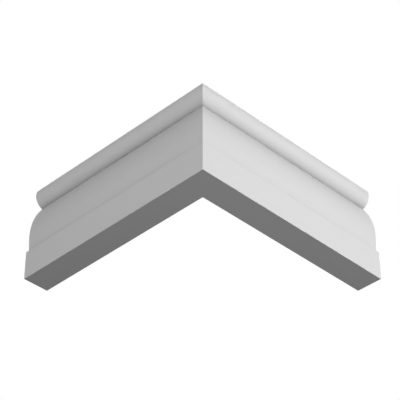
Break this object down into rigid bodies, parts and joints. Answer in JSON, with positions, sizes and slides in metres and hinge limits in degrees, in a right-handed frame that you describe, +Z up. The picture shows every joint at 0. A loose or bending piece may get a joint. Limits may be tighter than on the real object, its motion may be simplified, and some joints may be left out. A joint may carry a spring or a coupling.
{
  "type": "skirting board outside corner",
  "caption": "Skirting piece that wraps a wall's outside corner: square plinth, full rounded belly and a round bead on top, mitred between two equal arms with flat backs and cut ends.",
  "frame": {"origin": "the wall's outside corner at floor level, where the two flat backs meet at the foot of the piece", "axes": "+Z up; the arms run along +X and +Y, with their flat backs on the planes y = 0 and x = 0, and the moulded faces look to -Y and -X"},
  "size_m": [0.25, 0.25, 0.119],
  "materials": {
    "primed_polymer": "smooth matt white primer, ready to paint"
  },
  "bodies": {
    "root": {"skirting_corner": "primed_polymer"}
  },
  "joints": []
}
